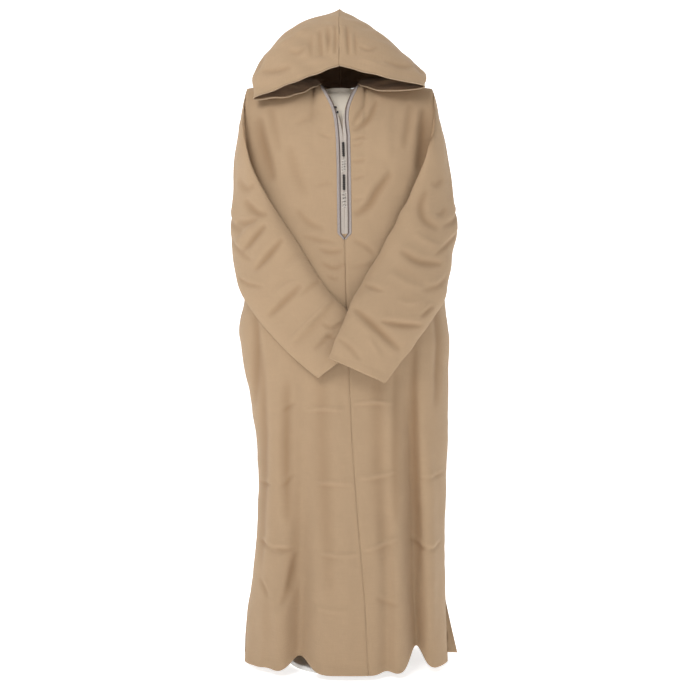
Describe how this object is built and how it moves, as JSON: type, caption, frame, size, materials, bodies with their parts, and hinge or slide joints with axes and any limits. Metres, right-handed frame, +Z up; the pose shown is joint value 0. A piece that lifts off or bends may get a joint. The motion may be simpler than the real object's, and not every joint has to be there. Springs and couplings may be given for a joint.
{
  "type": "djellaba on a dress form",
  "caption": "Beige hooded djellaba filled out by a limbless dress form, empty sleeves crossed in front, braided neck placket, hood tented over the neck.",
  "frame": {"origin": "centre of the stand base's underside, on the floor", "axes": "+Z up, -Y towards the front, +X towards the viewer's right when facing the front"},
  "size_m": [0.5467, 0.3681, 1.588],
  "materials": {
    "cloth": "matte camel twill",
    "braid": "lilac-grey silky braid",
    "pale_cord": "pale cord",
    "black_cord": "black knotted cord",
    "form": "cream stretch jersey over the form",
    "stand": "white enamel"
  },
  "bodies": {
    "root": {"front_left": "cloth", "front_right": "cloth", "back": "cloth", "sleeve_left": "cloth", "sleeve_right": "cloth", "hood_left": "cloth", "hood_right": "cloth", "braid_left": "braid", "braid_right": "braid", "hood_cord_left": "pale_cord", "hood_cord_right": "pale_cord", "buttons_pale_1": "pale_cord", "buttons_pale_2": "pale_cord", "buttons_dark_1": "black_cord", "buttons_dark_2": "black_cord", "knot_1": "black_cord", "knot_2": "black_cord", "form_body": "form", "form_pole": "stand", "form_base": "stand"}
  },
  "joints": []
}
